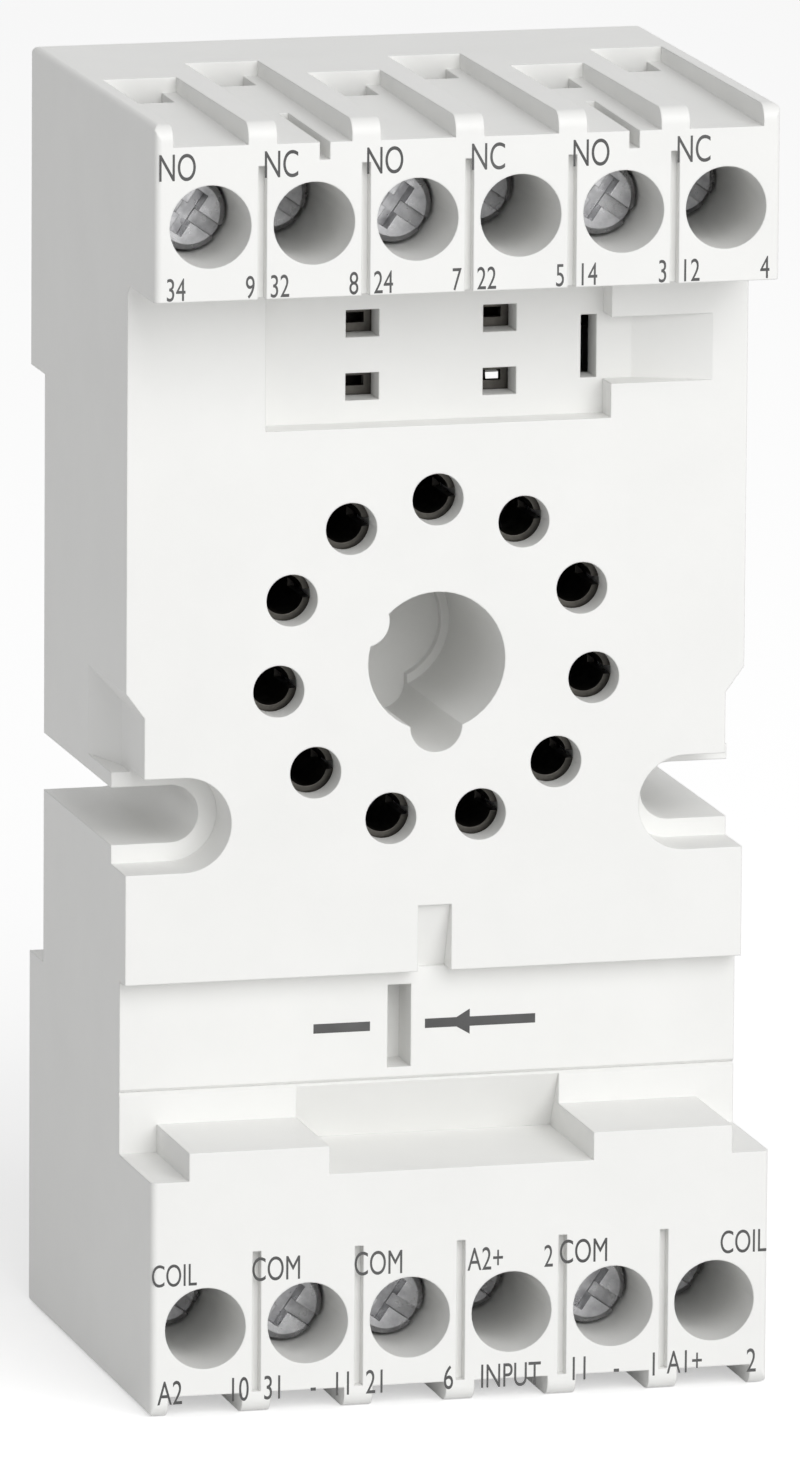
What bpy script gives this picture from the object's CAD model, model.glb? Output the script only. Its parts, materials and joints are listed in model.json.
"""Finish, print, light and camera for an eleven-pin relay socket with screw terminals.

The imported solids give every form. This script adds their finishes, the printed terminal marks
and a plain studio. Lengths are metres; MM turns the drawing's millimetres into them.
"""

import json
import math

import bpy
import numpy as np
from mathutils import Matrix, Vector


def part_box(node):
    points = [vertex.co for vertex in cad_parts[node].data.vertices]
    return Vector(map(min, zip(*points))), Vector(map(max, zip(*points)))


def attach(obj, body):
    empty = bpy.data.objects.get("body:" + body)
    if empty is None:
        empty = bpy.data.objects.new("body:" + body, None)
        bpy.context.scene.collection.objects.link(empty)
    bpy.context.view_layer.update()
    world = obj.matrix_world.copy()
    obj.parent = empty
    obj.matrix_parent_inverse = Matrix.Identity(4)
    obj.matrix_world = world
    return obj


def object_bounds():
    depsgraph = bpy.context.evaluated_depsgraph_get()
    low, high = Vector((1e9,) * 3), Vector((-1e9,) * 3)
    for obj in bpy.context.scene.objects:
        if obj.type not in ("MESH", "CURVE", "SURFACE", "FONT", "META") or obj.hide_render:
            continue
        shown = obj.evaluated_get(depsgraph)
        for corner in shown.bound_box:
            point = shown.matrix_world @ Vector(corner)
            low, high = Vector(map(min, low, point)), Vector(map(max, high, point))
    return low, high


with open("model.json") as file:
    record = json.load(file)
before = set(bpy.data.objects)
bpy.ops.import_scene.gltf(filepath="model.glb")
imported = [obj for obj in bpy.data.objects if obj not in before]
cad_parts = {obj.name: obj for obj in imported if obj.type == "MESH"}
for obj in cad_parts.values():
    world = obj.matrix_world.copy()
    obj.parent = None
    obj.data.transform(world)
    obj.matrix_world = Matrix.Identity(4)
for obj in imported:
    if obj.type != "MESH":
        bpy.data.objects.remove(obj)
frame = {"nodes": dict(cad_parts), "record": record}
CAD_LOW, CAD_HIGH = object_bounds()

MM = 0.001
HOUSING_LOW, HOUSING_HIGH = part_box("front_housing")
FRONT_Y = HOUSING_LOW.y
FACE_Y = frame["record"]["mounts"][1]["pos_m"][1]


# ---------------------------------------------------------------- shader helpers


class Nodes:
    """Short way to add nodes to one tree, place them in a row and link them."""

    def __init__(self, tree):
        self.tree = tree
        self.column = 0

    def add(self, kind, **settings):
        node = self.tree.nodes.new(kind)
        node.location = (self.column * 190, 0)
        self.column += 1
        for name, value in settings.items():
            setattr(node, name, value)
        return node

    def link(self, out_socket, in_socket):
        self.tree.links.new(out_socket, in_socket)

    def noise(self, vector, scale, detail=3.0, roughness=0.5):
        node = self.add("ShaderNodeTexNoise")
        node.inputs["Scale"].default_value = scale
        node.inputs["Detail"].default_value = detail
        node.inputs["Roughness"].default_value = roughness
        self.link(vector, node.inputs["Vector"])
        return node.outputs["Fac"]

    def math(self, operation, a, b=None, clamp=False):
        node = self.add("ShaderNodeMath", operation=operation, use_clamp=clamp)
        for socket, value in zip(node.inputs, (a, b)):
            if value is None:
                continue
            if isinstance(value, (int, float)):
                socket.default_value = value
            else:
                self.link(value, socket)
        return node.outputs[0]

    def ramp(self, fac, low, high, to_low=0.0, to_high=1.0):
        node = self.add("ShaderNodeMapRange")
        self.link(fac, node.inputs["Value"])
        for name, value in (("From Min", low), ("From Max", high), ("To Min", to_low), ("To Max", to_high)):
            if isinstance(value, (int, float)):
                node.inputs[name].default_value = value
            else:
                self.link(value, node.inputs[name])
        return node.outputs["Result"]

    def mix_colour(self, fac, a, b):
        node = self.add("ShaderNodeMix", data_type="RGBA")
        for socket, value in ((node.inputs[0], fac), (node.inputs[6], a), (node.inputs[7], b)):
            if isinstance(value, (int, float, tuple)):
                socket.default_value = value
            else:
                self.link(value, socket)
        return node.outputs[2]


def new_group(name, inputs, outputs):
    """A shader node group with the named sockets; returns (group, Nodes, input node, output node)."""
    group = bpy.data.node_groups.new(name, "ShaderNodeTree")
    kinds = {"value": "NodeSocketFloat", "colour": "NodeSocketColor", "vector": "NodeSocketVector"}
    for socket_name, kind, default in inputs:
        socket = group.interface.new_socket(socket_name, in_out="INPUT", socket_type=kinds[kind])
        if default is not None:
            socket.default_value = default
    for socket_name, kind in outputs:
        group.interface.new_socket(socket_name, in_out="OUTPUT", socket_type=kinds[kind])
    nodes = Nodes(group)
    return group, nodes, nodes.add("NodeGroupInput"), nodes.add("NodeGroupOutput")


def grey(value, alpha=1.0):
    return (value, value, value, alpha)


def srgb(r, g, b):
    """Linear colour of an sRGB triple from 0 to 255."""
    linear = [((c / 255 + 0.055) / 1.055) ** 2.4 if c > 10 else c / 255 / 12.92 for c in (r, g, b)]
    return (*linear, 1.0)


def moulding_group():
    """Moulded plastic: a fine spark-eroded grain, a slow waviness, and a soft cloudiness in the tone.

    Height = grain noise + a share of slow noise; tone = base colour pulled towards the deep colour by
    a low-frequency noise; roughness rises a little where the grain is high.
    """
    group, nodes, given, result = new_group(
        "moulded_plastic",
        [("Base", "colour", grey(0.8)), ("Deep", "colour", grey(0.7)), ("Cloud", "value", 0.5),
         ("Roughness", "value", 0.5), ("Grain size", "value", 0.00022)],
        [("Colour", "colour"), ("Roughness", "value"), ("Height", "value")])
    place = nodes.add("ShaderNodeTexCoord").outputs["Object"]
    frequency = nodes.math("DIVIDE", 1.0, given.outputs["Grain size"])
    grain = nodes.add("ShaderNodeTexNoise")
    grain.inputs["Detail"].default_value = 2.0
    nodes.link(place, grain.inputs["Vector"])
    nodes.link(frequency, grain.inputs["Scale"])
    slow = nodes.noise(place, 90.0, 2.0)
    cloud = nodes.noise(place, 160.0, 4.0, 0.6)
    cloudy = nodes.math("MULTIPLY", nodes.ramp(cloud, 0.35, 0.75), given.outputs["Cloud"])
    nodes.link(nodes.mix_colour(cloudy, given.outputs["Base"], given.outputs["Deep"]), result.inputs["Colour"])
    rough = nodes.math("ADD", given.outputs["Roughness"], nodes.ramp(grain.outputs["Fac"], 0.3, 0.7, -0.05, 0.05))
    nodes.link(rough, result.inputs["Roughness"])
    nodes.link(nodes.math("ADD", grain.outputs["Fac"], nodes.math("MULTIPLY", slow, 1.5)), result.inputs["Height"])
    return group


def metal_group():
    """Worked metal: streaks drawn out along one axis, small pits, and a dull film that changes the tone."""
    group, nodes, given, result = new_group(
        "worked_metal",
        [("Bright", "colour", grey(0.7)), ("Dull", "colour", grey(0.5)), ("Film", "value", 0.5),
         ("Roughness", "value", 0.3), ("Stretch", "vector", (1.0, 1.0, 1.0))],
        [("Colour", "colour"), ("Roughness", "value"), ("Height", "value")])
    place = nodes.add("ShaderNodeTexCoord").outputs["Object"]
    drawn = nodes.add("ShaderNodeVectorMath", operation="MULTIPLY")
    nodes.link(place, drawn.inputs[0])
    nodes.link(given.outputs["Stretch"], drawn.inputs[1])
    streak = nodes.noise(drawn.outputs[0], 3000.0, 2.0)
    film = nodes.ramp(nodes.noise(place, 900.0, 4.0, 0.6), 0.35, 0.7)
    masked = nodes.math("MULTIPLY", film, given.outputs["Film"])
    nodes.link(nodes.mix_colour(masked, given.outputs["Bright"], given.outputs["Dull"]), result.inputs["Colour"])
    rough = nodes.math("ADD", given.outputs["Roughness"], nodes.math("MULTIPLY", masked, 0.25))
    nodes.link(nodes.math("ADD", rough, nodes.ramp(streak, 0.3, 0.7, -0.04, 0.06)), result.inputs["Roughness"])
    nodes.link(streak, result.inputs["Height"])
    return group


def surface(name, group, values, metallic=0.0, bump_mm=0.004, edge_mm=0.0, coat=0.0, specular=0.5):
    """A material: the group's colour and roughness in a Principled shader, its height as bump.

    Where edge_mm is given, the normal is first rounded over that radius, as a moulded edge is.
    """
    material = bpy.data.materials.new(name)
    material.use_nodes = True
    tree = material.node_tree
    tree.nodes.clear()
    nodes = Nodes(tree)
    effect = nodes.add("ShaderNodeGroup", node_tree=group)
    for socket_name, value in values.items():
        effect.inputs[socket_name].default_value = value
    shader = nodes.add("ShaderNodeBsdfPrincipled")
    shader.inputs["Metallic"].default_value = metallic
    shader.inputs["Coat Weight"].default_value = coat
    shader.inputs["Specular IOR Level"].default_value = specular
    nodes.link(effect.outputs["Colour"], shader.inputs["Base Color"])
    nodes.link(effect.outputs["Roughness"], shader.inputs["Roughness"])
    bump = nodes.add("ShaderNodeBump")
    bump.inputs["Strength"].default_value = 1.0
    bump.inputs["Distance"].default_value = bump_mm * MM
    nodes.link(effect.outputs["Height"], bump.inputs["Height"])
    if edge_mm:
        bevel = nodes.add("ShaderNodeBevel", samples=6)
        bevel.inputs["Radius"].default_value = edge_mm * MM
        nodes.link(bevel.outputs["Normal"], bump.inputs["Normal"])
    nodes.link(bump.outputs["Normal"], shader.inputs["Normal"])
    out = nodes.add("ShaderNodeOutputMaterial")
    nodes.link(shader.outputs["BSDF"], out.inputs["Surface"])
    return material


def make_materials():
    """Every finish of the socket, by the record's material slot."""
    plastic, metal = moulding_group(), metal_group()
    return {
        "housing": surface("housing_plastic", plastic,
                           {"Base": srgb(238, 238, 236), "Deep": srgb(232, 232, 230), "Cloud": 0.5,
                            "Roughness": 0.46}, bump_mm=0.003, edge_mm=0.12),
        "cover": surface("cover_plastic", plastic,
                         {"Base": srgb(226, 226, 224), "Deep": srgb(218, 218, 216), "Cloud": 0.6,
                          "Roughness": 0.5}, bump_mm=0.004, edge_mm=0.12),
        "latch": surface("latch_plastic", plastic,
                         {"Base": srgb(214, 214, 212), "Deep": srgb(206, 206, 204), "Cloud": 0.4,
                          "Roughness": 0.36}, bump_mm=0.002, edge_mm=0.12),
        "spring_steel": surface("spring_wire", metal,
                                {"Bright": grey(0.62), "Dull": grey(0.45), "Film": 0.4, "Roughness": 0.25,
                                 "Stretch": (1.0, 1.0, 0.2)}, metallic=1.0, bump_mm=0.002),
        "screw_steel": surface("zinc_plated_steel", metal,
                               {"Bright": (0.52, 0.52, 0.53, 1.0), "Dull": (0.24, 0.24, 0.25, 1.0), "Film": 0.7,
                                "Roughness": 0.24, "Stretch": (1.0, 1.0, 1.0)},
                               metallic=1.0, bump_mm=0.003, edge_mm=0.08),
        "cage_brass": surface("nickel_plated_brass", metal,
                              {"Bright": (0.30, 0.29, 0.27, 1.0), "Dull": (0.16, 0.15, 0.14, 1.0), "Film": 0.6,
                               "Roughness": 0.34, "Stretch": (0.15, 1.0, 1.0)},
                              metallic=1.0, bump_mm=0.004, edge_mm=0.08),
        "contact_brass": surface("strip_brass", metal,
                                 {"Bright": (0.10, 0.095, 0.085, 1.0), "Dull": (0.05, 0.047, 0.043, 1.0), "Film": 0.6,
                                  "Roughness": 0.32, "Stretch": (1.0, 1.0, 0.12)},
                                 metallic=1.0, bump_mm=0.003, edge_mm=0.06),
    }


def ink_material():
    """Dark grey pad-printed ink, a little uneven in tone."""
    return surface("printed_ink", moulding_group(),
                   {"Base": grey(0.055), "Deep": grey(0.12), "Cloud": 0.7, "Roughness": 0.55},
                   bump_mm=0.001)


# ---------------------------------------------------------------- print

# Terminal spacing and the heights of the two rows of screw bores
PITCH = 6.1
UPPER_ROW_Z, LOWER_ROW_Z = 30.6, -33.8
# Upper block: middle of the words above and of the numbers below a bore's axis
WORD_RISE, NUMBER_DROP = 3.5, 3.55
INK_THICKNESS = 0.006
# Built-in letters: height of a capital at size 1, and how much the print narrows them
LETTER_CAP, LETTER_WIDTH = 0.69, 0.64
# Label field: how far it lies behind the face, and the height of its marks' axis
LABEL_DEPTH, LABEL_MARK_Z = 1.3, -18.2
BAR_HALF, HEAD_HALF = 0.28, 0.75
# Each mark: its words, terminal (0 to 5 from the left), offset from the bore's axis, cap height
UPPER_MARKS = [
    *[(word, i, -1.95, WORD_RISE, 1.55) for i, word in enumerate(["NO", "NC"] * 3)],
    *[(number, i, -2.0, -NUMBER_DROP, 1.3) for i, number in enumerate(["34", "32", "24", "22", "14", "12"])],
    *[(digit, i, 2.35, -NUMBER_DROP, 1.3) for i, digit in enumerate("987534")],
]
LOWER_MARKS = [
    ("COIL", 0, -1.85, 3.25, 1.3), ("COM", 1, -1.9, 3.35, 1.4), ("COM", 2, -1.9, 3.35, 1.4),
    ("A2+", 3, -1.6, 3.25, 1.35), ("2", 3, 2.2, 3.2, 1.3), ("COM", 4, -1.8, 3.4, 1.4),
    ("COIL", 5, 1.75, 3.45, 1.35),
    ("A2", 0, -2.1, -3.7, 1.4), ("10", 0, 2.1, -3.7, 1.4), ("31", 1, -2.1, -3.7, 1.4),
    ("-", 1, 0.35, -3.7, 1.4), ("11", 1, 2.1, -3.7, 1.4), ("21", 2, -2.1, -3.7, 1.4),
    ("6", 2, 2.35, -3.7, 1.4), ("INPUT", 3, 0.0, -3.75, 1.4), ("11", 4, -2.0, -3.6, 1.4),
    ("-", 4, 0.25, -3.6, 1.4), ("1", 4, 2.5, -3.6, 1.4), ("A1+", 5, -1.75, -3.55, 1.35),
    ("2", 5, 2.3, -3.7, 1.4),
]


def ink_piece(name, mesh, ink):
    """Shows a printed mark as a piece of the housing."""
    mesh.materials.clear()
    mesh.materials.append(ink)
    piece = bpy.data.objects.new(name, mesh)
    bpy.context.scene.collection.objects.link(piece)
    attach(piece, "socket")


def printed_words(name, words, x, z, cap, y, ink):
    """Words cut from the plain built-in letters, cap high, centred at (x, z) and flat on the face at y."""
    curve = bpy.data.curves.new(name, "FONT")
    curve.body = words
    curve.extrude = 0.5
    maker = bpy.data.objects.new(name + "_maker", curve)
    bpy.context.scene.collection.objects.link(maker)
    bpy.context.view_layer.update()
    mesh = bpy.data.meshes.new_from_object(maker.evaluated_get(bpy.context.evaluated_depsgraph_get()))
    bpy.data.objects.remove(maker)
    points = np.empty(len(mesh.vertices) * 3, dtype=np.float32)
    mesh.vertices.foreach_get("co", points)
    points = points.reshape(-1, 3)
    scale = cap / LETTER_CAP
    middle = (points[:, 0].min() + points[:, 0].max()) / 2
    placed = np.column_stack([
        x + (points[:, 0] - middle) * scale * LETTER_WIDTH,
        y / MM - INK_THICKNESS * (points[:, 2] + curve.extrude),
        z + (points[:, 1] - LETTER_CAP / 2) * scale])
    mesh.vertices.foreach_set("co", (placed * MM).astype(np.float32).ravel())
    mesh.update()
    ink_piece(name, mesh, ink)


def printed_outline(name, outline, y, ink):
    """A flat mark with the given (x, z) outline, closed into a thin solid on the face at y."""
    count = len(outline)
    front = [(x * MM, y - INK_THICKNESS * MM, z * MM) for x, z in outline]
    back = [(x * MM, y, z * MM) for x, z in outline]
    faces = [tuple(range(count)), tuple(range(2 * count - 1, count - 1, -1))]
    faces += [((i + 1) % count, i, count + i, count + (i + 1) % count) for i in range(count)]
    mesh = bpy.data.meshes.new(name)
    mesh.from_pydata(front + back, [], faces)
    ink_piece(name, mesh, ink)


def print_marks():
    """Terminal words and numbers on the two blocks, a dash and an arrow on the label field."""
    ink = ink_material()
    rows = (("upper", UPPER_MARKS, UPPER_ROW_Z), ("lower", LOWER_MARKS, LOWER_ROW_Z))
    for row, marks, row_z in rows:
        for i, (words, column, dx, dz, cap) in enumerate(marks):
            x = (column - 2.5) * PITCH + dx
            printed_words(f"print_{row}_{i:02d}", words, x, row_z + dz, cap, FRONT_Y, ink)
    label_y = FACE_Y + LABEL_DEPTH * MM
    low, high = LABEL_MARK_Z - BAR_HALF, LABEL_MARK_Z + BAR_HALF
    dash = (-6.9, -3.5)
    tail, tip, head, end = -0.2, 1.7, 2.5, 6.45
    printed_outline("print_dash", [(dash[0], low), (dash[1], low), (dash[1], high), (dash[0], high)],
                    label_y, ink)
    printed_outline("print_arrow",
                    [(tail, low), (tip, low), (head, LABEL_MARK_Z - HEAD_HALF), (head, low), (end, low),
                     (end, high), (head, high), (head, LABEL_MARK_Z + HEAD_HALF), (tip, high), (tail, high)],
                    label_y, ink)


def finish_nodes(materials):
    """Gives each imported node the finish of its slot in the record."""
    for part in frame["record"]["subparts"]:
        mesh = frame["nodes"][part["node"]].data
        mesh.materials.clear()
        mesh.materials.append(materials[part["material_slot"]])


# ---------------------------------------------------------------- studio


def make_camera():
    """Long-lens camera to the left of the front and a little above it, with a slight roll."""
    look_turn, look_down, roll = (math.radians(a) for a in (15.0, 11.54, 0.41))
    distance = 0.9464
    aim = (CAD_LOW + CAD_HIGH) / 2 + Vector((0.375, 1.04, -1.82)) * MM
    ahead = Vector((math.sin(look_turn) * math.cos(look_down), math.cos(look_turn) * math.cos(look_down),
                    -math.sin(look_down)))
    data = bpy.data.cameras.new("camera")
    data.sensor_fit = "VERTICAL"
    data.sensor_height = 36.0
    data.lens = 393.6
    data.clip_start, data.clip_end = 0.05, 50.0
    camera = bpy.data.objects.new("camera", data)
    bpy.context.scene.collection.objects.link(camera)
    turn = (-ahead).to_track_quat("Z", "Y").to_matrix().to_4x4() @ Matrix.Rotation(roll, 4, "Z")
    camera.matrix_world = Matrix.Translation(aim - ahead * distance) @ turn
    bpy.context.scene.camera = camera


def area_lamp(name, place, aim, size, power):
    """A rectangular lamp at place that shines towards aim."""
    data = bpy.data.lights.new(name, "AREA")
    data.shape = "RECTANGLE"
    data.size, data.size_y = size
    data.energy = power
    lamp = bpy.data.objects.new(name, data)
    bpy.context.scene.collection.objects.link(lamp)
    direction = Vector(aim) - Vector(place)
    lamp.matrix_world = Matrix.Translation(place) @ direction.to_track_quat("-Z", "Y").to_matrix().to_4x4()


def seen_directly(nodes):
    """1 for what the camera sees straight, in a mirror or through glass, else 0."""
    path = nodes.add("ShaderNodeLightPath")
    both = nodes.math("ADD", path.outputs["Is Camera Ray"], path.outputs["Is Glossy Ray"], clamp=True)
    return nodes.math("ADD", both, path.outputs["Is Transmission Ray"], clamp=True)


def make_world(light_level):
    """White where it is seen, and an even grey light otherwise."""
    world = bpy.data.worlds.new("studio")
    world.use_nodes = True
    tree = world.node_tree
    tree.nodes.clear()
    nodes = Nodes(tree)
    light, seen = nodes.add("ShaderNodeBackground"), nodes.add("ShaderNodeBackground")
    light.inputs["Color"].default_value = grey(light_level)
    light.inputs["Strength"].default_value = 1.0
    seen.inputs["Color"].default_value = grey(1.0)
    mix = nodes.add("ShaderNodeMixShader")
    nodes.link(seen_directly(nodes), mix.inputs["Fac"])
    nodes.link(light.outputs[0], mix.inputs[1])
    nodes.link(seen.outputs[0], mix.inputs[2])
    out = nodes.add("ShaderNodeOutputWorld")
    nodes.link(mix.outputs[0], out.inputs["Surface"])
    bpy.context.scene.world = world


def make_floor():
    """Pale floor that reads white where it is open, and keeps the socket's soft shadow."""
    half = 4.0
    mesh = bpy.data.meshes.new("floor")
    corners = [(-half, -half), (half, -half), (half, half), (-half, half)]
    mesh.from_pydata([(x, y, CAD_LOW.z) for x, y in corners], [], [(0, 1, 2, 3)])
    floor = bpy.data.objects.new("floor", mesh)
    bpy.context.scene.collection.objects.link(floor)
    material = bpy.data.materials.new("floor_card")
    material.use_nodes = True
    tree = material.node_tree
    tree.nodes.clear()
    nodes = Nodes(tree)
    card = nodes.add("ShaderNodeBsdfDiffuse")
    card.inputs["Color"].default_value = grey(0.8)
    lift = nodes.add("ShaderNodeEmission")
    lift.inputs["Color"].default_value = grey(1.0)
    nodes.link(nodes.math("MULTIPLY", seen_directly(nodes), 0.45), lift.inputs["Strength"])
    total = nodes.add("ShaderNodeAddShader")
    nodes.link(card.outputs[0], total.inputs[0])
    nodes.link(lift.outputs[0], total.inputs[1])
    out = nodes.add("ShaderNodeOutputMaterial")
    nodes.link(total.outputs[0], out.inputs["Surface"])
    mesh.materials.append(material)


def make_studio():
    """Plain view settings, an even grey world with one large lamp in front, the floor and the camera."""
    bpy.context.scene.view_settings.view_transform = "Standard"
    make_world(0.44)
    area_lamp("front_softbox", (0.35, -1.3, 0.75), (0, 0, 0), (1.4, 1.4), 17.5)
    make_floor()
    make_camera()


finish_nodes(make_materials())
print_marks()
make_studio()
